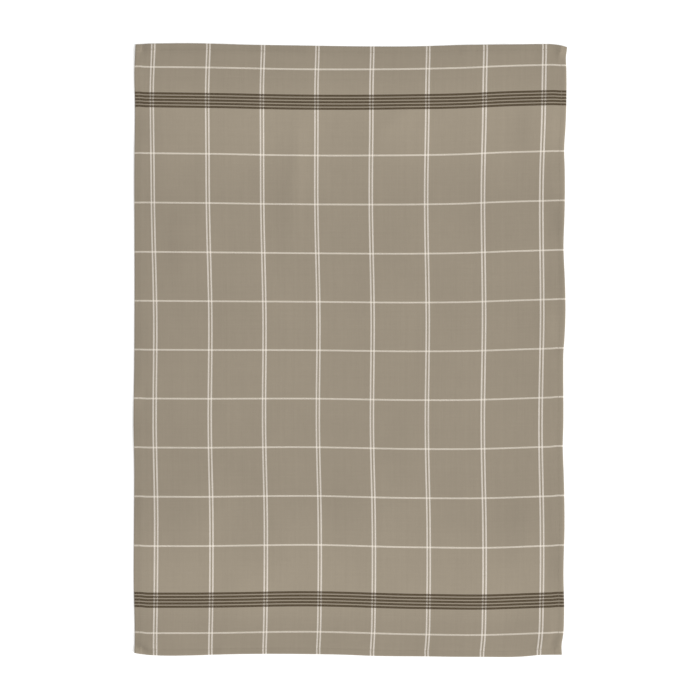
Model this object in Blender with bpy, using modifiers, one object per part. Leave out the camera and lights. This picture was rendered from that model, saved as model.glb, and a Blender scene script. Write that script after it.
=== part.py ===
"""Tea towel lying flat and face up: one piece of woven cotton with turned hems.

X runs across the cloth, Y along it and Z up. The origin is on the surface that the
cloth lies on, under the middle of the cloth's box.
"""

import bpy
import numpy as np

MM = 0.001

# Driving dimensions, in millimetres
WIDTH = 495.0  # across, between the side hems' outer edges
LENGTH = 702.0  # along, between the end hems' outer edges
CLOTH = 1.2  # thickness of the single cloth
HEM = 2.4  # thickness over the turned layers of a hem
SIDE_HEM = 7.0  # from the side edge to the row of stitches
END_HEM = 8.0  # from the end edge to the row of stitches
CELLS_ACROSS = 30  # of the mesh, between the hems
CELLS_ALONG = 44
RESTS_BELOW = 0.3  # a swell lower than this lies flat

COTTON = (0.33, 0.28, 0.21, 1.0)

# A hem from its outer edge inwards. Columns: share of the hem's width, share of HEM.
HEM_SECTION = (
    (0.0, 0.60),
    (0.25, 1.00),
    (0.80, 0.97),
    (1.0, 0.75),
    (1.3, CLOTH / HEM),
)

# How far each edge stands outside the plain rectangle. Columns: place along the edge,
# distance outwards, in millimetres.
TOP_EDGE = (
    (-247, 0.6),
    (-217, 1.6),
    (-183, 1.8),
    (-114, 0.2),
    (-45, -0.8),
    (24, -1.7),
    (93, -1.4),
    (127, -0.3),
    (196, 0.6),
    (219, 1.0),
    (231, 0.8),
    (242, -1.0),
    (249, -2.7),
)
BOTTOM_EDGE = (
    (-247, -2.8),
    (-233, -0.6),
    (-217, 0.3),
    (-183, 0.2),
    (-148, -0.9),
    (-45, -1.5),
    (-10, -1.0),
    (35, 0.7),
    (93, 1.2),
    (156, 1.7),
    (208, 1.2),
    (222, -0.2),
    (243, -0.6),
)
LEFT_EDGE = (
    (-350, -0.1),
    (-334, -0.4),
    (-265, 0.7),
    (-200, 0.4),
    (-138, 0.1),
    (-80, 0.9),
    (-23, 0.2),
    (57, -0.2),
    (230, -0.2),
    (276, -0.7),
    (322, -0.1),
    (350, -1.3),
)
RIGHT_EDGE = (
    (-350, -3.3),
    (-341, -3.7),
    (-328, -1.7),
    (-305, -0.7),
    (-260, -1.4),
    (-200, -0.3),
    (-145, -1.2),
    (-112, -2.2),
    (-90, -1.6),
    (-22, -1.7),
    (-8, -1.6),
    (8, -0.5),
    (40, 0.7),
    (80, 0.0),
    (118, -1.4),
    (150, -0.4),
    (205, 0.0),
    (230, -0.5),
    (253, 0.9),
    (320, 1.9),
    (338, 1.4),
    (350, 2.7),
)

# Soft swells where the cloth stands off the surface. Columns: centre across, centre
# along, direction in degrees from +X, half length, half width, height, in millimetres.
SWELLS = (
    # creases of the four hem corners
    (-229, 346, 98, 10, 7, 1.3),
    (242, 345, 88, 13, 6, 1.4),
    (228, 341, 96, 14, 7, 0.7),
    (-244, -350, -30, 11, 6, 1.4),
    (-231, -338, -30, 18, 7, 1.0),
    (241, -335, 66, 14, 7, 1.1),
    (222, -337, 66, 16, 7, 1.2),
    # slack along the side hems
    (-243, 205, 90, 60, 16, 1.1),
    (-244, -95, 90, 70, 15, 1.2),
    (243, 178, 90, 40, 18, 1.6),
    (244, 55, 90, 45, 20, 1.9),
    (243, -190, 90, 60, 18, 1.5),
    # slack along the end hems
    (-165, 344, 0, 55, 20, 1.3),
    (165, 345, 0, 50, 18, 1.2),
    (-30, -344, 0, 60, 18, 1.1),
    (120, -346, 0, 65, 20, 1.5),
    # long low swells of the open cloth
    (-150, 215, 78, 95, 34, 1.7),
    (35, 225, 64, 100, 36, 1.5),
    (170, 150, 100, 90, 34, 1.9),
    (-95, 40, 100, 105, 36, 1.6),
    (105, -45, 76, 105, 38, 1.8),
    (-165, -120, 84, 100, 34, 1.5),
    (20, -190, 112, 95, 36, 1.6),
    (165, -245, 70, 90, 34, 1.7),
    (-110, -265, 58, 80, 32, 1.3),
)


def clear_scene():
    for thing in list(bpy.data.objects):
        bpy.data.objects.remove(thing, do_unlink=True)


def cotton_material():
    material = bpy.data.materials.new("taupe_cotton")
    material.use_nodes = True
    shader = material.node_tree.nodes["Principled BSDF"]
    shader.inputs["Base Color"].default_value = COTTON
    shader.inputs["Roughness"].default_value = 0.9
    shader.inputs["Metallic"].default_value = 0.0
    material.diffuse_color = COTTON
    return material


def smooth_line(table, at):
    """Reads a table's second column at places of its first, on one smooth line."""
    places, values = np.array(table, dtype=float).T
    slopes = np.gradient(values, places)
    row = np.clip(np.searchsorted(places, at) - 1, 0, len(places) - 2)
    span = places[row + 1] - places[row]
    t = np.clip((at - places[row]) / span, 0.0, 1.0)
    rise = t * t * (3.0 - 2.0 * t)
    leave = t * (1.0 - t) ** 2 * span * slopes[row]
    arrive = t * t * (t - 1.0) * span * slopes[row + 1]
    return values[row] * (1.0 - rise) + values[row + 1] * rise + leave + arrive


def stations(size, hem, cells):
    """Lines of the mesh across one direction: close in the hems, even between them."""
    hem_lines = -size / 2 + hem * np.array([share for share, _ in HEM_SECTION])
    middle = np.linspace(hem_lines[-1], -hem_lines[-1], cells + 1)
    return np.concatenate([hem_lines[:-1], middle, -hem_lines[:-1][::-1]])


def laid_outline(x, y):
    """Moves points of the plain rectangle so that its edges follow the four tables."""
    left = -WIDTH / 2 - smooth_line(LEFT_EDGE, y)
    right = WIDTH / 2 + smooth_line(RIGHT_EDGE, y)
    bottom = -LENGTH / 2 - smooth_line(BOTTOM_EDGE, x)
    top = LENGTH / 2 + smooth_line(TOP_EDGE, x)
    across = x / WIDTH + 0.5
    along = y / LENGTH + 0.5
    return left + (right - left) * across, bottom + (top - bottom) * along


def lift(x, y):
    """Height of the cloth's underside: the swells together, and flat between them."""
    height = np.zeros_like(x)
    for centre_x, centre_y, degrees, half_length, half_width, rise in SWELLS:
        turn = np.radians(degrees)
        along = (x - centre_x) * np.cos(turn) + (y - centre_y) * np.sin(turn)
        across = (y - centre_y) * np.cos(turn) - (x - centre_x) * np.sin(turn)
        height += rise * np.exp(-((along / half_length) ** 2) - (across / half_width) ** 2)
    return np.maximum(height - RESTS_BELOW, 0.0)


def hem_share(x, y):
    """Thickness of the cloth as a share of a full hem."""
    from_side = (WIDTH / 2 - np.abs(x)) / SIDE_HEM
    from_end = (LENGTH / 2 - np.abs(y)) / END_HEM
    places, shares = np.array(HEM_SECTION).T
    return np.interp(np.minimum(from_side, from_end), places, shares)


def make_towel(collection):
    across = stations(WIDTH, SIDE_HEM, CELLS_ACROSS)
    along = stations(LENGTH, END_HEM, CELLS_ALONG)
    cells_x = len(across) - 1
    cells_y = len(along) - 1

    bpy.ops.mesh.primitive_grid_add(x_subdivisions=cells_x, y_subdivisions=cells_y, size=1.0)
    towel = bpy.context.object
    towel.name = "towel"
    mesh = towel.data
    mesh.name = "towel"

    # each vertex of the even grid goes to its own two lines
    places = np.empty(len(mesh.vertices) * 3)
    mesh.vertices.foreach_get("co", places)
    places = places.reshape(-1, 3)
    x = across[np.rint((places[:, 0] + 0.5) * cells_x).astype(int)]
    y = along[np.rint((places[:, 1] + 0.5) * cells_y).astype(int)]

    laid_x, laid_y = laid_outline(x, y)
    laid = np.stack([laid_x, laid_y, lift(laid_x, laid_y)], axis=1)
    middle = (laid.max(axis=0) + laid.min(axis=0)) / 2
    middle[2] = 0.0
    mesh.vertices.foreach_set("co", ((laid - middle) * MM).ravel())
    mesh.update()

    # the single cloth is a part of the hem's thickness, told by a vertex group
    thin = CLOTH / HEM
    hems = towel.vertex_groups.new(name="hems")
    for vertex, share in enumerate(hem_share(x, y)):
        hems.add([vertex], (share - thin) / (1.0 - thin), "REPLACE")

    thicken = towel.modifiers.new("cloth thickness", "SOLIDIFY")
    thicken.thickness = HEM * MM
    thicken.offset = 1.0
    thicken.vertex_group = hems.name
    thicken.thickness_vertex_group = thin

    mesh.materials.append(cotton_material())
    mesh.shade_smooth()
    mesh.set_sharp_from_angle(angle=np.radians(50))

    for old in list(towel.users_collection):
        old.objects.unlink(towel)
    collection.objects.link(towel)
    return towel


def main():
    clear_scene()
    collection = bpy.data.collections.new("tea_towel")
    bpy.context.scene.collection.children.link(collection)
    make_towel(collection)


main()
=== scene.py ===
import math

import bpy
import numpy as np
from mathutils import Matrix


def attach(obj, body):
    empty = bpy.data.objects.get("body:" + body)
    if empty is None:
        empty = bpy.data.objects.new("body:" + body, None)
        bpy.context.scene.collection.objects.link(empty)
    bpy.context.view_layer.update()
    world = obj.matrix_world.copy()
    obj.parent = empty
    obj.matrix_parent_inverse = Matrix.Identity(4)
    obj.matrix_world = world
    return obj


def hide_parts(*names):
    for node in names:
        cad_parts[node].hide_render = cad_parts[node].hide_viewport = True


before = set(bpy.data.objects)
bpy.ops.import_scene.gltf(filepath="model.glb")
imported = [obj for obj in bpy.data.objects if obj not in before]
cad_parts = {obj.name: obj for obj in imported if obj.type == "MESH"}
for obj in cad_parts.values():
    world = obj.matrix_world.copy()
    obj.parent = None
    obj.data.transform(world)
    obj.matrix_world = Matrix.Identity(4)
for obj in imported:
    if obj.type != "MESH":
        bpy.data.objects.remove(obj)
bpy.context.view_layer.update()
mm = 0.001

# the cloth, in millimetres, with flat places measured from its middle
towel = {
    "width": 495.0,
    "length": 702.0,
    "cutSize": (0.523, 0.738),  # metres, before the hems were turned
    "sideHem": 7.0,  # from the edge to the turned edge under it
    "endHem": 8.0,
    "layer": 0.58,  # thickness of the single cloth
    "thinnest": 0.4,  # least thickness inside the rounded edge
    "turnedUnder": 0.95,  # the two layers folded under a hem
    "turnedStep": 0.25,  # width of their step on the underside
    "cornerExtra": 0.50,  # more of them where two hems meet
    "cornerFade": 1.5,  # width over which that ends, inside the turned edges
    "edgeRound": 2.3,  # how far in from the edge its fold is round
    "stitchInset": 1.2,  # the seam runs this far outside the turned edge
    "sidePull": 0.08,  # how far the seam of a side hem draws the face down
    "endPull": 0.15,  # and that of an end hem
    "stitchReach": 1.5,  # half width of that trough
    "pullUnder": 0.4,  # share of it by which the underside is drawn up there
    "pullEased": 0.5,  # share of it that a pucker of the hem takes away or adds
    "restsBelow": 0.3,  # a swell lower than this lies flat
    "softRise": 0.02,  # how gently a swell leaves the table, in square millimetres
    "cellAcross": 3.6,  # of the mesh, between the hems
    "cellAlong": 4.0,
    # its close lines, counted inwards from an edge and from a turned edge
    "edgeLines": (0, 0.15, 0.4, 0.8, 1.3, 2.2, 3.5),
    "turnLines": (-2.4, -1.7, -1.2, -0.7, -0.25, 0, 0.2, 0.7, 1.6, 3, 5, 8, 12, 16),
}

# how each hem lies: how far its inner side is held up, and the distance beside it over
# which the face comes down
hemLie = {
    "left": (0.40, 110.0),
    "right": (0.0, 60.0),
    "bottom": (0.35, 40.0),
    "top": (0.50, 60.0),
}

# how far each edge stands outside the plain rectangle: place along the edge, distance
topEdge = (
    (-247, 0.6), (-217, 1.6), (-183, 1.8), (-114, 0.2), (-45, -0.8), (24, -1.7), (93, -1.4),
    (127, -0.3), (196, 0.6), (219, 1.0), (231, 0.8), (242, -1.0), (249, -2.7),
)
bottomEdge = (
    (-247, -2.8), (-233, -0.6), (-217, 0.3), (-183, 0.2), (-148, -0.9), (-45, -1.5), (-10, -1.0),
    (35, 0.7), (93, 1.2), (156, 1.7), (208, 1.2), (222, -0.2), (243, -0.6),
)
leftEdge = (
    (-350, -0.1), (-334, -0.4), (-265, 0.7), (-200, 0.4), (-138, 0.1), (-80, 0.9), (-23, 0.2),
    (57, -0.2), (230, -0.2), (276, -0.7), (322, -0.1), (350, -1.3),
)
rightEdge = (
    (-350, -3.3), (-341, -3.7), (-328, -1.7), (-305, -0.7), (-260, -1.4), (-200, -0.3),
    (-145, -1.2), (-112, -2.2), (-90, -1.6), (-22, -1.7), (-8, -1.6), (8, -0.5), (40, 0.7),
    (80, 0.0), (118, -1.4), (150, -0.4), (205, 0.0), (230, -0.5), (253, 0.9), (320, 1.9),
    (338, 1.4), (350, 2.7),
)

# how the warp is drawn aside, to the right above 0, with t from -1 to 1 across the cloth
# and s from -1 to 1 along it
warp = {
    # its uneven spacing: place across, distance
    "spacing": ((-223, -1.4), (-159, -1.6), (-95, -2.7), (32, -5.3), (159, -4.3), (223, -1.1)),
    # all of it swaying: place along, distance
    "sway": (
        (-345, -1.5), (-330, -0.6), (-290, 0.4), (-205, 1.0), (-90, -0.6), (35, 0.7), (180, -1.0),
        (264, -0.2), (310, 0.2), (345, 1.3),
    ),
    # its sides spreading apart: place along, distance of each
    "spread": (
        (-345, -2.4), (-330, -1.4), (-290, -1.0), (-150, -1.2), (-30, -0.8), (100, 0.1), (190, 0.9),
        (310, 3.0), (345, 2.4),
    ),
    "bow": -1.6,  # its middle leaning one way at one end and the other way at the other
    "sideBlend": 24.5,  # it comes from the side edge's own line over this distance
}

# how the weft is drawn up above 0 or down
weft = {
    # bowed one way in the lower part and another way in the upper: place across, distance
    "lower": ((-232, 0.3), (-177, 0.2), (-40, 1.7), (85, -1.3), (165, -1.8), (231, 0.5)),
    "upper": (
        (-232, 0.3), (-177, -0.2), (-40, -2.4), (12, -2.5), (85, -1.9), (139, -0.6), (180, 1.4),
        (231, 2.8),
    ),
    "turnsBetween": (-250.0, 250.0),  # places along where the one goes over to the other
    # its uneven spacing: place along, distance
    "rise": (
        (-325, 0.0), (-288, -0.2), (-226, 0.3), (-85, 0.6), (0, 0.2), (113, -0.2), (226, 0.3),
        (325, -0.3),
    ),
    "endBlend": 26.0,  # it comes from the end edge's own line over this distance
}

# how far the weft slips up where it turns into a side hem: place along, distance
slip = {
    "left": ((-350, 1.0), (-200, 0.5), (-60, 0.4), (60, 0.0), (200, 0.0), (300, 0.6), (350, 0.6)),
    "right": (
        (-350, 0.6), (-200, 0.8), (-60, 0.9), (60, 0.4), (240, 0.0), (320, -0.6), (350, -0.6),
    ),
    "sideFade": (6.0, 16.0),  # from a side edge inwards, all to none of it
    "endFade": 12.0,  # from an end edge inwards, none to all of it
}

# swells where the cloth stands off the table: centre across, centre along, degrees from
# +X, half length, half width, height
swells = (
    # creases of the four hem corners
    (-229, 346, 98, 10, 7, 1.3),
    (242, 345, 88, 13, 6, 1.4),
    (228, 341, 96, 14, 7, 0.7),
    (-244, -350, -30, 11, 6, 1.4),
    (-231, -338, -30, 18, 7, 1.0),
    (241, -335, 66, 14, 7, 1.1),
    (222, -337, 66, 16, 7, 1.2),
    # slack along the side hems
    (-243, 205, 90, 60, 16, 1.1),
    (-244, -95, 90, 70, 15, 1.2),
    (243, 178, 90, 40, 18, 1.6),
    (244, 55, 90, 45, 20, 1.9),
    (243, -190, 90, 60, 18, 1.5),
    # slack along the end hems
    (-165, 344, 0, 55, 20, 1.3),
    (165, 345, 0, 50, 18, 1.2),
    (-30, -344, 0, 60, 18, 1.1),
    (120, -346, 0, 65, 20, 1.5),
    # long low swells of the open cloth
    (-150, 215, 78, 95, 34, 1.7),
    (35, 225, 64, 100, 36, 1.5),
    (170, 150, 100, 90, 34, 1.9),
    (-95, 40, 100, 105, 36, 1.6),
    (105, -45, 76, 105, 38, 1.8),
    (-165, -120, 84, 100, 34, 1.5),
    (20, -190, 112, 95, 36, 1.6),
    (165, -245, 70, 90, 34, 1.7),
    (-110, -265, 58, 80, 32, 1.3),
    # and smaller ones, each with a lighter right side
    (-62, 205, 86, 75, 13, 1.3),
    (52, 262, 37, 32, 12, 0.8),
    (93, 25, 85, 32, 16, 0.6),
    (226, 27, 92, 24, 9, 0.8),
)

# small puckers of the hems, ridges above 0 and troughs below: same columns
puckers = (
    # upper left corner
    (-246, 344, 95, 10, 4.0, 0.8),
    (-239, 346, 95, 7, 3.5, -0.4),
    (-226, 347, 90, 7, 2.5, 0.5),
    (-219, 345, 90, 5, 3.0, -0.4),
    (-187, 348, 0, 20, 3.5, -0.6),
    (-158, 343, 95, 7, 4.5, -0.4),
    # upper right corner
    (125, 343, 84, 8, 4.0, -0.4),
    (143, 343, 95, 7, 3.0, -0.4),
    (212, 342, 88, 10, 4.0, -0.5),
    (241, 342, 88, 10, 3.5, 0.6),
    (247, 344, 88, 10, 3.5, -0.5),
    # lower left corner
    (-245, -350, -30, 9, 4.5, 0.5),
    (-239, -343, -30, 11, 3.2, -0.8),
    (-233, -337, -30, 13, 4.0, 0.5),
    (-219, -345, 92, 7, 4.0, -0.4),
    (-156, -346, 88, 7, 4.0, -0.4),
    (-146, -344, 80, 8, 4.0, 0.3),
    # lower right corner
    (223, -340, 66, 13, 4.5, 0.3),
    (232, -335, 70, 11, 4.5, -0.4),
)

# soft areas of the cloth that are lighter, above 0, or darker, some of them painted light and
# shade: same columns, the last a share of the colour
toneAreas = (
    # right margin
    (236, 303, 90, 9, 12, -0.045),
    (236, 255, 90, 28, 13, 0.075),
    (238, 188, 90, 16, 10, 0.06),
    (240, 145, 90, 23, 8, -0.09),
    (245, 92, 90, 22, 4, -0.08),
    (231, 38, 90, 30, 8, 0.06),
    (236, -2, 90, 7, 9, -0.05),
    (236, -249, 90, 34, 13, -0.135),
    (236, -318, 90, 18, 10, 0.06),
    # left margin
    (-242, 318, 90, 20, 7, 0.075),
    (-234, 258, 90, 28, 16, -0.075),
    (-228, 178, 90, 40, 12, -0.04),
    (-244, -58, 90, 14, 5, 0.09),
    (-233, -100, 90, 50, 6, -0.045),
    (-244, -178, 90, 16, 5, -0.06),
    # end hems
    (-85, 346, 0, 50, 4, -0.055),
    (-90, -347, 0, 130, 5, -0.055),
    (120, -350, 0, 120, 3, -0.05),
    # corners: painted highlights and painted shade on their creases
    (-241, 346, 90, 5, 4, 0.07),
    (-237, 345, 90, 5, 4, 0.04),
    (233, 346, 0, 9, 4, 0.06),
    (238.5, 341, 90, 6, 2.5, -0.04),
    (244, 343, 90, 6, 3.5, 0.05),
    (-244, -345, -30, 6, 3.5, 0.16),
    (-238, -341, -28, 13, 3.5, -0.10),
    (235.5, -345, 90, 5, 3.5, 0.06),
    (236, -335, 80, 6, 3, -0.03),
    # open cloth
    (198, 250, 90, 34, 13, -0.05),
    (190, -225, 90, 50, 18, -0.055),
    (190, 130, 90, 50, 22, -0.025),
    (80, -105, 90, 40, 20, 0.03),
    (70, 30, 90, 40, 35, 0.03),
    (60, 245, 90, 30, 40, 0.02),
    # painted light on the right flank of the swell at -62, 205, and painted shade beside its left
    (-54, 190, 90, 50, 9, 0.03),
    (-80, 170, 90, 85, 10, -0.035),
    (-120, -140, 90, 30, 40, -0.025),
    (-205, 130, 90, 60, 12, -0.03),
)

# light and dark of the whole cloth, partly painted light and shade, as shares of its colour, and
# their places in mm
tones = {
    "bandGlow": 0.094,  # lighter beside each dark band
    "glowRise": (169.0, 276.0),  # from the middle, none to all of it
    "glowFall": (276.0, 321.0),  # all to none of it
    "endLightAndShade": 0.03,  # painted shade towards the upper end and painted light towards the lower one, the ends that face from and towards the lamp
    "endDim": 0.015,  # darker near both ends
    "endReach": 45.0,
    "paintedFalloff": 0.07,  # painted falloff of the light: darker far from the cloth's lightest place
    "lightest": 80.0,  # right of the middle
    "farReach": 330.0,
    "seamShade": 0.012,  # painted shade along the trough of each seam
    "seamReach": 5.5,  # from the edge to its middle, and from there to none
    "foldHighlight": 0.06,  # painted highlight along the rounded fold of a side hem
    "foldReach": 2.5,
}

# uneven relief that is worked out from seeds
relief = {
    "seeds": {"left": 12, "right": 13, "bottom": 14, "top": 15, "broad": 16, "fine": 17},
    "broad": (70.0, 0.30),  # spacing of its knots and its height
    "fine": (24.0, 0.10),
    "hemWaves": (46.0, 33.0, 24.0, 17.0),  # wavelengths of the hems' puckering
    "hemStrength": (0.6, 0.4),  # its mean strength, and how far that swings along the hem
    "hemSwing": (28.0, 60.0),  # millimetres for each radian of that swing, least and most
    "phase": (0.0, 6.0),  # radians, least and most
    "hemHeight": 0.26,
    "hemReach": 11.0,  # how far into the cloth it carries
    "hemFull": 2.0,  # it starts to fade this far outside the turned edge
}


def curveWeights(places, at):
    # A smooth line through one value at each place, read anywhere as a weighted sum of
    # those values: (1 - r) of the one before and r of the one after, r = t*t*(3 - 2t), plus
    # the slopes there times span*t*(1 - t)^2 and span*t*t*(t - 1), t from 0 to 1 between.
    places = np.asarray(places, float)
    own = np.eye(len(places))
    slopes = np.gradient(own, places, axis=0)
    row = np.clip(np.searchsorted(places, at) - 1, 0, len(places) - 2)
    span = (places[row + 1] - places[row])[:, None]
    t = np.clip((at - places[row])[:, None] / span, 0.0, 1.0)
    rise = t * t * (3.0 - 2.0 * t)
    return (
        own[row] * (1.0 - rise)
        + own[row + 1] * rise
        + slopes[row] * span * t * (1.0 - t) ** 2
        + slopes[row + 1] * span * t * t * (t - 1.0)
    )


def onLine(table, at):
    # the table's second column, read at places of its first on a smooth line
    places, values = np.array(table, float).T
    return curveWeights(places, at) @ values


def easing(start, stop, value):
    # t*t*(3 - 2t), t = (value - start)/(stop - start) held between 0 and 1
    t = np.clip((value - start) / (stop - start), 0.0, 1.0)
    return t * t * (3.0 - 2.0 * t)


def insets(u, v):
    # distance of a flat place from the nearer side edge and from the nearer end edge
    return towel["width"] / 2 - np.abs(u), towel["length"] / 2 - np.abs(v)


def warpDrift(u, v):
    # spacing(u) + sway(v) + spread(v)*t + bow*s*(1 - t*t)
    t = 2 * u / towel["width"]
    s = 2 * v / towel["length"]
    together = onLine(warp["spacing"], u) + onLine(warp["sway"], v)
    return together + onLine(warp["spread"], v) * t + warp["bow"] * s * (1 - t * t)


def weftDrift(u, v):
    # lower(u)*(1 - k) + upper(u)*k + rise(v), k from 0 to 1 between the two places
    start, stop = weft["turnsBetween"]
    k = np.clip((v - start) / (stop - start), 0.0, 1.0)
    bowed = onLine(weft["lower"], u) * (1 - k) + onLine(weft["upper"], u) * k
    return bowed + onLine(weft["rise"], v)


def laidPlace(u, v):
    # x = u + the warp's drift, which gives way to the side edge's own line near it;
    # y = v + the weft's drift, which does so near an end, plus the slip near a side hem
    fromSide, fromEnd = insets(u, v)
    aside = warpDrift(u, v)
    sideLine = np.where(u < 0, -onLine(leftEdge, v), onLine(rightEdge, v))
    aside += (sideLine - aside) * (1.0 - easing(0.0, warp["sideBlend"], fromSide))
    upwards = weftDrift(u, v)
    endLine = np.where(v < 0, -onLine(bottomEdge, u), onLine(topEdge, u))
    upwards += (endLine - upwards) * (1.0 - easing(0.0, weft["endBlend"], fromEnd))

    slipped = np.where(u < 0, onLine(slip["left"], v), onLine(slip["right"], v))
    nearSide = 1.0 - easing(*slip["sideFade"], fromSide)
    return u + aside, v + upwards + slipped * nearSide * easing(0.0, slip["endFade"], fromEnd)


def ridges(table, x, y):
    # sum of height * exp(-(along/halfLength)^2 - (across/halfWidth)^2), each row turned
    # by its own degrees about its own centre
    total = np.zeros_like(x)
    for centreX, centreY, degrees, halfLength, halfWidth, height in table:
        turn = math.radians(degrees)
        along = (x - centreX) * math.cos(turn) + (y - centreY) * math.sin(turn)
        across = (y - centreY) * math.cos(turn) - (x - centreX) * math.sin(turn)
        total += height * np.exp(-((along / halfLength) ** 2) - (across / halfWidth) ** 2)
    return total


def evenKnots(size, spacing):
    # even places, from one spacing outside the one edge to one outside the other
    return np.arange(-size / 2 - spacing, size / 2 + 2 * spacing, spacing)


def patchRelief(spacing, height, seed, u, v):
    # random heights from -height to height at even knots, joined by smooth lines both ways
    columns = evenKnots(towel["width"], spacing)
    rows = evenKnots(towel["length"], spacing)
    random = np.random.default_rng(seed)
    knots = random.uniform(-height, height, (len(rows), len(columns)))
    return np.sum((curveWeights(rows, v) @ knots) * curveWeights(columns, u), axis=1)


def hemRipple(place, seed):
    # mean over the wavelengths of strength * sin(2 pi place/wavelength + phase), and
    # strength = mean + swing * sin(place/length + another phase)
    random = np.random.default_rng(seed)
    mean, swing = relief["hemStrength"]
    total = np.zeros_like(place)
    for wavelength in relief["hemWaves"]:
        turns = place / random.uniform(*relief["hemSwing"]) + random.uniform(*relief["phase"])
        strength = mean + swing * np.sin(turns)
        phase = random.uniform(*relief["phase"])
        total += strength * np.sin(2 * np.pi * place / wavelength + phase)
    return total / len(relief["hemWaves"])


def hemPucker(u, v):
    # height * each hem's ripple * exp(-(distance past the hem's full part/reach)^2)
    fromSide, fromEnd = insets(u, v)
    seeds, reach = relief["seeds"], relief["hemReach"]
    sides = np.where(u < 0, hemRipple(v, seeds["left"]), hemRipple(v, seeds["right"]))
    ends = np.where(v < 0, hemRipple(u, seeds["bottom"]), hemRipple(u, seeds["top"]))
    pastSide = np.maximum(fromSide - towel["sideHem"] + relief["hemFull"], 0)
    pastEnd = np.maximum(fromEnd - towel["endHem"] + relief["hemFull"], 0)
    fadedSides = sides * np.exp(-((pastSide / reach) ** 2))
    fadedEnds = ends * np.exp(-((pastEnd / reach) ** 2))
    return relief["hemHeight"] * (fadedSides + fadedEnds)


def lieOf(below, above, place):
    # tilt and fall of the hem on the negative or on the positive side
    return np.where(place < 0, *(np.array(hemLie[name])[:, None] for name in (below, above)))


def seamTrough(inset, pull):
    # pull * exp(-(distance from the seam/reach)^2)
    offSeam = inset + towel["stitchInset"]
    return pull * np.exp(-((offSeam / towel["stitchReach"]) ** 2))


def clothHeights(u, v, x, y):
    # face = lift of swells, relief and hems + carried height over the turned layers +
    # puckers + layer - trough of the seam; underside = the same lift, plus carried height
    # and puckers where the cloth is single; both come from their middle height by
    # sqrt(1 - (1 - inset/round)^2) at the outer edge
    fromSide, fromEnd = insets(u, v)
    inSide = fromSide - towel["sideHem"]
    inEnd = fromEnd - towel["endHem"]

    ripple = hemPucker(u, v)
    uneven = patchRelief(*relief["broad"], relief["seeds"]["broad"], u, v)
    uneven += patchRelief(*relief["fine"], relief["seeds"]["fine"], u, v)
    raised = ridges(swells, x, y) + uneven + ripple - towel["restsBelow"]
    lift = 0.5 * (raised + np.sqrt(raised**2 + towel["softRise"]))  # soft maximum with 0

    sideTilt, sideFall = lieOf("left", "right", u)
    endTilt, endFall = lieOf("bottom", "top", v)
    sideFold = 1.0 - easing(0.0, sideFall, inSide)
    endFold = 1.0 - easing(0.0, endFall, inEnd)
    lift += sideTilt * np.clip(fromSide / towel["sideHem"], 0, 1) * sideFold
    lift += endTilt * np.clip(fromEnd / towel["endHem"], 0, 1) * endFold
    bothSide = 1.0 - easing(0.0, towel["cornerFade"], inSide)
    bothEnd = 1.0 - easing(0.0, towel["cornerFade"], inEnd)
    carried = towel["turnedUnder"] * (1.0 - (1.0 - sideFold) * (1.0 - endFold))
    carried += towel["cornerExtra"] * (bothSide * bothEnd)

    sideTrough = seamTrough(inSide, towel["sidePull"])
    trough = np.maximum(sideTrough, seamTrough(inEnd, towel["endPull"]))
    tight = 1.0 - towel["pullEased"] * ripple / relief["hemHeight"]
    puckered = ridges(puckers, x, y)
    face = lift + carried + towel["layer"] - trough * tight + puckered

    openCloth = easing(0.0, towel["turnedStep"], np.minimum(inSide, inEnd))
    under = lift + openCloth * (carried + puckered)
    under += towel["pullUnder"] * trough * (1.0 - openCloth)
    under = np.minimum(np.maximum(under, 0.0), face - towel["thinnest"])

    edge = np.clip(np.minimum(fromSide, fromEnd) / towel["edgeRound"], 0.0, 1.0)
    opening = np.sqrt(1.0 - (1.0 - edge) ** 2)
    middle = (face + under) / 2
    return middle + (face - middle) * opening, middle + (under - middle) * opening


def clothToneAndPaintedLight(u, v, x, y):
    # 1, plus or minus each of the tones times its own share of 0 to 1, plus toneAreas
    fromSide, fromEnd = insets(u, v)
    fromMiddle = np.abs(v)
    besideBand = easing(*tones["glowRise"], fromMiddle)
    besideBand *= 1.0 - easing(*tones["glowFall"], fromMiddle)
    nearEnd = 1.0 - easing(0.0, tones["endReach"], fromEnd)
    farOff = (u - tones["lightest"]) / tones["farReach"]
    offSeam = np.abs(np.minimum(fromSide, fromEnd) / tones["seamReach"] - 1.0)
    return (
        1.0
        + tones["bandGlow"] * besideBand
        # painted shade towards the upper end, painted light towards the lower one
        - tones["endLightAndShade"] * (2.0 * v / towel["length"]) ** 5
        - tones["endDim"] * nearEnd
        # painted falloff of the light away from its lightest place
        - tones["paintedFalloff"] * farOff**4
        # painted shade along the seams' troughs
        - tones["seamShade"] * np.maximum(1.0 - offSeam, 0.0)
        # painted highlight along the rounded folds of the side hems
        + tones["foldHighlight"] * np.maximum(1.0 - fromSide / tones["foldReach"], 0.0)
        # toneAreas, with the painted light and shade of the corner creases
        + ridges(toneAreas, x, y)
    )


def gridLines(size, hem, cell):
    # lines close together at the edge's fold, the seam and the turned edge, even between
    nearEdge = np.array(towel["edgeLines"])
    nearTurn = hem + np.array(towel["turnLines"])
    side = -size / 2 + np.concatenate([nearEdge, nearTurn])
    cells = round(-2 * side[-1] / cell)
    middle = np.linspace(side[-1], -side[-1], cells + 1)
    return np.concatenate([side[:-1], middle, -side[:-1][::-1]])


def meshPiece(name, points, faces, material):
    # points in millimetres, in the part's own frame
    mesh = bpy.data.meshes.new(name)
    mesh.from_pydata((points * mm).tolist(), [], faces.tolist())
    mesh.shade_smooth()
    mesh.materials.append(material)
    piece = bpy.data.objects.new(name, mesh)
    bpy.context.scene.collection.objects.link(piece)
    return piece


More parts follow.
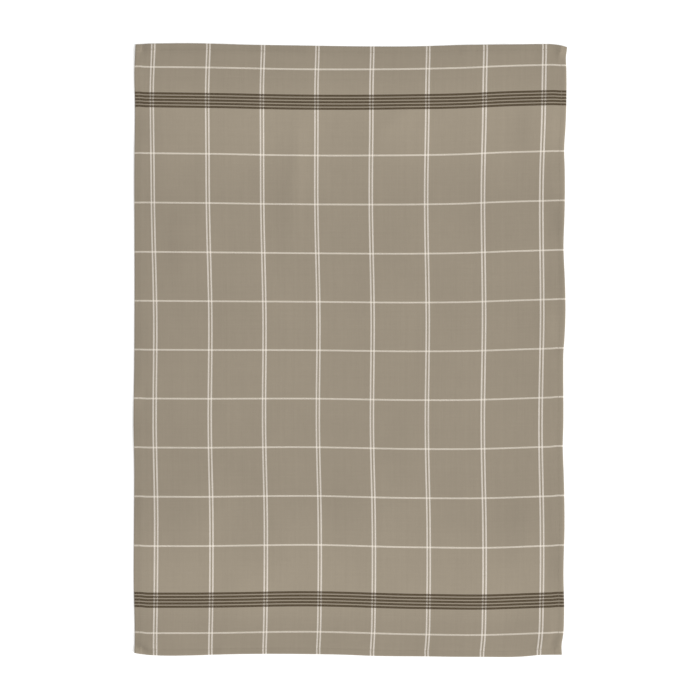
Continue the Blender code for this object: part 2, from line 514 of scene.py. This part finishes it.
def flatMap(piece, across, along):
    # UV map of the flat cloth, in metres
    layer = piece.data.uv_layers.new(name="flat")
    corners = np.empty(len(piece.data.loops), int)
    piece.data.loops.foreach_get("vertex_index", corners)
    layer.data.foreach_set("uv", np.column_stack([across, along])[corners].ravel() * mm)


def vertexShade(piece, name, shades):
    # one number for each vertex, which the material reads by its name
    layer = piece.data.attributes.new(name, "FLOAT", "POINT")
    layer.data.foreach_set("value", shades)


def makeCloth(material):
    # face and underside are one grid of flat places each, sharing their outer line
    across = gridLines(towel["width"], towel["sideHem"], towel["cellAcross"])
    along = gridLines(towel["length"], towel["endHem"], towel["cellAlong"])
    v, u = (place.ravel() for place in np.meshgrid(along, across, indexing="ij"))
    x, y = laidPlace(u, v)
    face, under = clothHeights(u, v, x, y)
    middle = np.array([(x.max() + x.min()) / 2, (y.max() + y.min()) / 2])

    top = np.arange(len(u)).reshape(len(along), len(across))
    inner = np.zeros(top.shape, bool)
    inner[1:-1, 1:-1] = True
    bottom = top.copy()
    bottom[inner] = len(u) + np.arange(inner.sum())
    inside = inner.ravel()

    def quads(index):
        return np.stack(
            [index[:-1, :-1], index[:-1, 1:], index[1:, 1:], index[1:, :-1]], axis=-1
        ).reshape(-1, 4)

    facePoints = np.column_stack([x - middle[0], y - middle[1], face])
    underPoints = np.column_stack([x - middle[0], y - middle[1], under])[inside]
    piece = meshPiece(
        "cloth",
        np.vstack([facePoints, underPoints]),
        np.vstack([quads(top), quads(bottom)[:, ::-1]]),
        material,
    )
    flatMap(piece, np.concatenate([u, u[inside]]), np.concatenate([v, v[inside]]))
    # tones of the cloth, partly painted light and shade
    tone = clothToneAndPaintedLight(u, v, x, y)
    vertexShade(piece, "toneAndPaintedLight", np.concatenate([tone, tone[inside]]))
    return piece, middle


# the seams of the hems, in millimetres
seamThread = {
    "pitch": 3.1,  # from one stitch to the next
    "length": 2.35,
    "radius": 0.15,
    "steps": (-0.5, -0.36, 0.0, 0.36, 0.5),  # places along a stitch, shares of its length
    "heights": (-0.22, 0.03, 0.10, 0.03, -0.22),  # its middle above the cloth at each
    "girths": (0.6, 0.95, 1.0, 0.95, 0.6),  # its radius there, as shares
    "endGap": 1.5,  # from the cloth's edge to the first stitch
    "wander": 0.12,  # sideways, from a seed
    "slack": 0.25,  # and along the seam
    "seeds": ((-1, 21, 31), (1, 22, 32)),  # side of the cloth, seeds of its side and end hem
    "colour": (0.350, 0.297, 0.223),
    "ply": 9000,  # radians for each metre across the twist of its two plies
    "plyShade": (0.75, 0.35),  # painted shade between the plies: share of the colour there, and more on them
    "roughness": 0.7,
    "plyGloss": 0.15,  # less rough on the plies
    "specular": 0.3,
    "sheen": 0.1,
}


def seamPlaces(half, seed):
    # even middles along a seam, each a little out of place
    count = int((half - seamThread["endGap"]) * 2 / seamThread["pitch"])
    middles = (np.arange(count) - (count - 1) / 2) * seamThread["pitch"]
    random = np.random.default_rng(seed)
    aside = random.normal(0, seamThread["wander"], count)
    return middles + random.uniform(-seamThread["slack"], seamThread["slack"], count), aside


def stitchCentres():
    # middle of every stitch, and 1 where it runs along the cloth or 0 where across
    sideSeam = towel["width"] / 2 - towel["sideHem"] + towel["stitchInset"]
    endSeam = towel["length"] / 2 - towel["endHem"] + towel["stitchInset"]
    u, v, runsAlong = [], [], []
    for sign, sideSeed, endSeed in seamThread["seeds"]:
        place, aside = seamPlaces(towel["length"] / 2, sideSeed)
        u.append(sign * sideSeam + aside)
        v.append(place)
        runsAlong.append(np.ones_like(place))
        place, aside = seamPlaces(towel["width"] / 2, endSeed)
        u.append(place)
        v.append(sign * endSeam + aside)
        runsAlong.append(np.zeros_like(place))
    return np.concatenate(u), np.concatenate(v), np.concatenate(runsAlong)


def stitchFaces(rings, sides):
    # walls from each ring's points to the next ring's, and two faces over the six points
    # of each end ring
    ring, place = np.meshgrid(np.arange(rings - 1), np.arange(sides), indexing="ij")
    here, there = ring * sides, (ring + 1) * sides
    nextPlace = (place + 1) % sides
    walls = np.stack([here + place, here + nextPlace, there + nextPlace, there + place], axis=-1)
    firstEnd = np.array([[0, 5, 4, 3], [0, 3, 2, 1]])
    lastEnd = np.array([[0, 1, 2, 3], [0, 3, 4, 5]]) + (rings - 1) * sides
    return np.vstack([walls.reshape(-1, 4), firstEnd, lastEnd])


def makeStitches(middle, material):
    # each stitch is a ring of six points carried along its line in five steps, on the face
    # and again on the underside: ring = centre + radius * (cos turn aside, sin turn up)
    u, v, runsAlong = stitchCentres()
    steps = np.array(seamThread["steps"]) * seamThread["length"]
    height = np.array(seamThread["heights"])
    radius = np.array(seamThread["girths"]) * seamThread["radius"]
    sides, rings = 6, len(steps)
    turn = np.arange(sides) * 2 * np.pi / sides
    alongU = (u[:, None] + (1 - runsAlong[:, None]) * steps).ravel()
    alongV = (v[:, None] + runsAlong[:, None] * steps).ravel()
    x, y = laidPlace(alongU, alongV)
    face, under = clothHeights(alongU, alongV, x, y)

    cross = runsAlong[:, None, None]
    ringOut = radius[:, None] * np.cos(turn)
    points = []
    for surface, side in ((face, 1), (under, -1)):
        # a ring turns the other way where its faces would point inwards: on the face where
        # the stitch runs along the cloth, on the underside where it runs across
        aside = side * (1 - 2 * cross) * ringOut
        ringX = x.reshape(-1, rings, 1) + cross * aside - middle[0]
        ringY = y.reshape(-1, rings, 1) + (1 - cross) * aside - middle[1]
        centreZ = surface.reshape(-1, rings) + side * height
        ringZ = centreZ[:, :, None] + radius[:, None] * np.sin(turn) * side
        points.append(np.stack([ringX, ringY, ringZ], axis=-1))
    points = np.concatenate(points)

    firstPoints = np.arange(len(points))[:, None, None] * (rings * sides)
    faces = (stitchFaces(rings, sides)[None] + firstPoints).reshape(-1, 4)
    return meshPiece("hemStitches", points.reshape(-1, 3), faces, material)


class Wire:
    # one socket of a material; an operator on it adds the Math node of that name
    def __init__(self, bench, socket):
        self.bench = bench
        self.socket = socket

    def __add__(self, other):
        return self.bench.maths("ADD", self, other)

    def __radd__(self, other):
        return self.bench.maths("ADD", other, self)

    def __sub__(self, other):
        return self.bench.maths("SUBTRACT", self, other)

    def __rsub__(self, other):
        return self.bench.maths("SUBTRACT", other, self)

    def __mul__(self, other):
        return self.bench.maths("MULTIPLY", self, other)

    def __rmul__(self, other):
        return self.bench.maths("MULTIPLY", other, self)

    def __mod__(self, other):
        return self.bench.maths("FLOORED_MODULO", self, other)

    def __lt__(self, other):
        return self.bench.maths("LESS_THAN", self, other)

    def __gt__(self, other):
        return self.bench.maths("GREATER_THAN", self, other)

    def __abs__(self):
        return self.bench.maths("ABSOLUTE", self)

    def floor(self):
        return self.bench.maths("FLOOR", self)

    def cosine(self):
        return self.bench.maths("COSINE", self)

    def clamped(self):
        return self.bench.add("Clamp", {}, {"Value": self})

    def output(self, number):
        # another output of the same node
        return Wire(self.bench, self.socket.node.outputs[number])


class Bench:
    # where the nodes of one material, or of the world, are put together
    def __init__(self, owner, shader="Principled BSDF"):
        owner.use_nodes = True
        self.owner = owner
        self.tree = owner.node_tree
        self.shader = self.tree.nodes[shader]

    def add(self, kind, settings, sockets, out=0):
        # a node of any kind: its settings, then values or links of its sockets
        node = self.tree.nodes.new("ShaderNode" + kind)
        for name, value in settings.items():
            setattr(node, name, value)
        self.fill(node, sockets)
        return Wire(self, node.outputs[out])

    def fill(self, node, sockets):
        # a Wire is linked to the socket of that name or number, any other value is set
        for name, value in sockets.items():
            if isinstance(value, Wire):
                self.tree.links.new(value.socket, node.inputs[name])
            else:
                node.inputs[name].default_value = value

    def maths(self, operation, *values):
        return self.add("Math", {"operation": operation}, dict(enumerate(values)))

    def blend(self, share, first, second):
        # first * (1 - share) + second * share; sockets 0, 6 and 7 are factor and colours
        settings = {"data_type": "RGBA", "clamp_factor": True}
        return self.add("Mix", settings, {0: share, 6: first, 7: second}, out=2)

    def scaled(self, colour, factor):
        return self.add("VectorMath", {"operation": "SCALE"}, {"Vector": colour, "Scale": factor})

    def noise(self, vector, scale=1.0, detail=2.0):
        sockets = {"Vector": vector, "Scale": scale, "Detail": detail, "Roughness": 0.5}
        return self.add("TexNoise", {"noise_dimensions": "2D"}, sockets)

    def threadNoise(self, across, along, detail=2.0):
        # noise over two measures counted in threads
        return self.noise(self.add("CombineXYZ", {}, {0: across, 1: along}), detail=detail)


# the woven cotton: threads are counted from the middle of the cloth, lengths in millimetres
weave = {
    "taupe": (0.364, 0.309, 0.234, 1.0),
    "warpWhite": (0.930, 0.856, 0.769, 1.0),
    "weftWhite": (0.935, 0.852, 0.734, 1.0),
    "dark": (0.078, 0.053, 0.0265, 1.0),
    "checkAside": -0.35,  # from the middle of the cloth to the middle of its check
    "warpRepeat": 63.6,  # from one pair of white stripes to the next
    "warpRepeatThreads": 110,
    "pairWhite": (1.5, 4.5),  # threads from a pair's middle to either side of a white stripe
    "weftRepeat": 56.45,  # from one light line to the next
    "weftRepeatThreads": 90,
    "lineHalf": 1.5,  # threads from a light line's middle to its side
    "outerLine": 519,  # thread of the light line nearest each end
    "lastLine": 400,  # the even light lines stop before this thread
    "bandStart": 445,  # first thread of a dark band
    "bandThreads": 28,
    "bandRepeat": 6,  # threads from one dark stripe to the next
    "bandDark": 4,  # how many of them are dark
    # how much more the warp shows than the weft where they cross
    "lean": 0.1,
    "leanWhiteWarp": 0.17,
    "leanWhiteWeft": -0.22,
    "leanDark": -0.87,
    "leanWhiteOverDark": 0.06,
    "crossSharpness": 4.0,  # how sharply a thread passes under the next
    "gapShade": 0.24,  # painted shade in the gaps between threads
    "threadTone": 0.06,  # spread of tone from thread to thread
    "weftToneFrom": 0.3,  # keeps a weft thread from the tone of the warp thread of its number
    "slubTone": 0.06,  # spread along each thread
    "slubSteps": (0.71, 0.03),  # steps of its noise from thread to thread and along one
    "streakTone": 0.018,  # spread in soft streaks of a few threads along the warp
    "streakSteps": (0.11, 0.006),  # steps of its noise, for each thread across and along
    "streakDetail": 3.0,
    "patchTone": 0.045,  # spread in wide soft patches
    "patchScale": 14.0,  # of its noise, for each metre
    "patchDetail": 3.0,
    "bandShade": 0.06,  # dark fibres dull the taupe threads within a band
    "bandDull": 0.30,  # and its white ones, as a share of their whiteness
    "bump": 0.00010,  # in metres, from the gap to the crown of a thread
    "bumpStrength": 0.7,
    "slubHeight": 0.5,  # of a slub, as a share of a crown
    "roughness": 0.93,
    "crownGloss": 0.08,  # less rough on a thread's crown
    "specular": 0.2,
    "sheen": 0.12,
    "sheenRoughness": 0.6,
    "sheenTint": (1.0, 0.95, 0.86, 1.0),
}


def cottonWeave():
    # a warp thread shows where cos(pi across)*cos(pi along) is above 0 and a weft thread
    # elsewhere, across and along being counted in threads
    bench = Bench(bpy.data.materials.new("taupeCotton"))
    place = bench.add("UVMap", {"uv_map": "flat"}, {})
    metresAcross = bench.add("SeparateXYZ", {}, {0: place})
    sideways = metresAcross * (1 / mm)
    endways = metresAcross.output(1) * (1 / mm)
    across = (sideways - weave["checkAside"]) * (weave["warpRepeatThreads"] / weave["warpRepeat"])
    along = endways * (weave["weftRepeatThreads"] / weave["weftRepeat"])
    warpThread = (across + 0.5).floor()
    weftThread = (along + 0.5).floor()

    # white pairs: three threads, three taupe, three threads
    whiteFrom, whiteTo = weave["pairWhite"]
    fromPair = abs(warpThread % weave["warpRepeatThreads"] - weave["warpRepeatThreads"] / 2)
    whiteWarp = (fromPair > whiteFrom) * (fromPair < whiteTo)

    # light lines of three threads, and the dark bands, whose limits lie half a thread
    # before their first and after their last
    half = weave["weftRepeatThreads"] / 2
    fromMiddle = abs(weftThread)
    fromLine = abs((weftThread + half) % weave["weftRepeatThreads"] - half)
    evenLines = (fromLine < weave["lineHalf"]) * (fromMiddle < weave["lastLine"])
    whiteWeft = evenLines + (abs(fromMiddle - weave["outerLine"]) < weave["lineHalf"])
    inBand = fromMiddle - weave["bandStart"]
    band = (inBand > -0.5) * (inBand < weave["bandThreads"] - 0.5)
    darkWeft = band * ((inBand % weave["bandRepeat"]) < weave["bandDark"] - 0.5)

    whiteness = whiteWarp * (1 - band * weave["bandDull"])
    warpColour = bench.blend(whiteness, weave["taupe"], weave["warpWhite"])
    weftColour = bench.blend(whiteWeft, weave["taupe"], weave["weftWhite"])
    weftColour = bench.blend(darkWeft, weftColour, weave["dark"])

    crossing = (across * math.pi).cosine() * (along * math.pi).cosine()
    lean = weave["lean"] + weave["leanWhiteWarp"] * whiteWarp + weave["leanWhiteWeft"] * whiteWeft
    lean = lean + (weave["leanDark"] + weave["leanWhiteOverDark"] * whiteWarp) * darkWeft
    warpShown = ((crossing + lean) * weave["crossSharpness"] + 0.5).clamped()
    yarn = bench.blend(warpShown, weftColour, warpColour)

    # each thread has its own tone, and slubs along it
    byNumber = {"noise_dimensions": "1D"}
    warpTone = bench.add("TexWhiteNoise", byNumber, {"W": warpThread})
    weftTone = bench.add("TexWhiteNoise", byNumber, {"W": weftThread + weave["weftToneFrom"]})
    byThread, inThread = weave["slubSteps"]
    warpSlub = bench.threadNoise(warpThread * byThread, along * inThread)
    weftSlub = bench.threadNoise(across * inThread, weftThread * byThread)
    ownTone = warpTone * warpShown + weftTone * (1 - warpShown) - 0.5
    slub = warpSlub * warpShown + weftSlub * (1 - warpShown) - 0.5
    stepAcross, stepAlong = weave["streakSteps"]
    streak = bench.threadNoise(across * stepAcross, along * stepAlong, weave["streakDetail"])
    patches = bench.noise(place, weave["patchScale"], weave["patchDetail"]) - 0.5
    # the cloth's tones from its vertices, partly painted light and shade
    toneAndPaintedLight = bench.add("Attribute", {"attribute_name": "toneAndPaintedLight"}, {}, out=2)  # as a number
    tone = (
        toneAndPaintedLight
        + ownTone * weave["threadTone"]
        + slub * (2 * weave["slubTone"])
        + (streak - 0.5) * (2 * weave["streakTone"])
        + patches * (2 * weave["patchTone"])
        - band * weave["bandShade"]
    )

    crown = abs(crossing)
    gap = 1 - crown
    # painted shade in the gaps between the threads
    tone = tone * (1 - gap * gap * weave["gapShade"])
    height = crown + slub * weave["slubHeight"]
    relieved = {"Height": height, "Distance": weave["bump"], "Strength": weave["bumpStrength"]}
    surface = {
        "Base Color": bench.scaled(yarn, tone),
        "Normal": bench.add("Bump", {}, relieved),
        "Roughness": weave["roughness"] - crown * weave["crownGloss"],
        "Specular IOR Level": weave["specular"],
        "Sheen Weight": weave["sheen"],
        "Sheen Roughness": weave["sheenRoughness"],
        "Sheen Tint": weave["sheenTint"],
    }
    bench.fill(bench.shader, surface)
    return bench.owner


def sewingThread():
    # matching thread, its two plies shown as slanted stripes with painted shade between them:
    # |cos((x + y) * ply)|
    bench = Bench(bpy.data.materials.new("taupeThread"))
    place = bench.add("TexCoord", {}, {}, out=3)  # Object coordinates
    across = bench.add("SeparateXYZ", {}, {0: place})
    ply = abs(((across + across.output(1)) * seamThread["ply"]).cosine())
    least, more = seamThread["plyShade"]
    surface = {
        # painted shade between the plies
        "Base Color": bench.scaled(seamThread["colour"], least + ply * more),
        "Roughness": seamThread["roughness"] - ply * seamThread["plyGloss"],
        "Specular IOR Level": seamThread["specular"],
        "Sheen Weight": seamThread["sheen"],
    }
    bench.fill(bench.shader, surface)
    return bench.owner


cotton = cottonWeave()
thread = sewingThread()
print("materials: woven cotton and sewing thread")

cloth, clothMiddle = makeCloth(cotton)
print("cloth:", len(cloth.data.polygons), "faces")
stitches = makeStitches(clothMiddle, thread)
print("stitches:", len(stitches.data.polygons), "faces")

for piece in (cloth, stitches):
    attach(piece, "root")
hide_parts("towel")

# table, light and camera: lengths in metres, but lens and sensor in millimetres
studio = {
    "floorZ": -0.0002,
    "floorSize": 60.0,
    "floorWhite": (0.95, 0.95, 0.95, 1.0),
    "floorGlow": 0.25,  # the table is lit from below a little, as a light table is
    "dome": 0.60,  # strength of the even light
    "key": 2.04,  # strength of the lamp
    "keySoftness": 40.0,  # degrees across
    "keyHeight": 38.0,  # degrees above the table
    "keyFrom": -24.0,  # degrees round from +X
    "lens": 85.0,
    "sensorWidth": 36.0,
    "viewWidth": 0.805,  # across the picture at the cloth's own height
    "clothHeight": 0.001,
    "viewMiddle": (-0.00035, 0.0002),  # where the camera stands over it
}


def makeStage():
    # a plain white table, an even dome, one soft lamp, and a camera straight above
    half = studio["floorSize"] / 2
    corners = np.array([[-1, -1, 0], [1, -1, 0], [1, 1, 0], [-1, 1, 0]]) * half / mm
    corners[:, 2] = studio["floorZ"] / mm
    bench = Bench(bpy.data.materials.new("whiteTable"))
    surface = {
        "Base Color": studio["floorWhite"],
        "Roughness": 1.0,
        "Specular IOR Level": 0.0,
        "Emission Color": (1.0, 1.0, 1.0, 1.0),
        "Emission Strength": studio["floorGlow"],
    }
    bench.fill(bench.shader, surface)
    floor = meshPiece("table", corners, np.array([[0, 1, 2, 3]]), bench.owner)

    # the dome lights the cloth with its own strength and is seen as plain white
    dome = Bench(bpy.data.worlds.new("studioDome"), "Background")
    seen = dome.add("LightPath", {}, {})  # 1 where the camera looks straight at it
    strength = dome.add("MapRange", {}, {"Value": seen, "To Min": studio["dome"], "To Max": 1.0})
    dome.fill(dome.shader, {"Color": (1.0, 1.0, 1.0, 1.0), "Strength": strength})
    bpy.context.scene.world = dome.owner

    lamp = bpy.data.lights.new("keyLight", "SUN")
    lamp.energy = studio["key"]
    lamp.angle = math.radians(studio["keySoftness"])
    key = bpy.data.objects.new("keyLight", lamp)
    bpy.context.scene.collection.objects.link(key)
    key.rotation_euler = (
        0,
        math.radians(90 - studio["keyHeight"]),
        math.radians(studio["keyFrom"]),
    )

    view = bpy.data.cameras.new("camera")
    view.lens = studio["lens"]
    view.sensor_width = studio["sensorWidth"]
    camera = bpy.data.objects.new("camera", view)
    bpy.context.scene.collection.objects.link(camera)
    distance = studio["viewWidth"] * studio["lens"] / studio["sensorWidth"]
    camera.location = (*studio["viewMiddle"], distance + studio["clothHeight"])
    bpy.context.scene.camera = camera
    bpy.context.scene.view_settings.view_transform = "Standard"


makeStage()
print("table, light and camera are set")
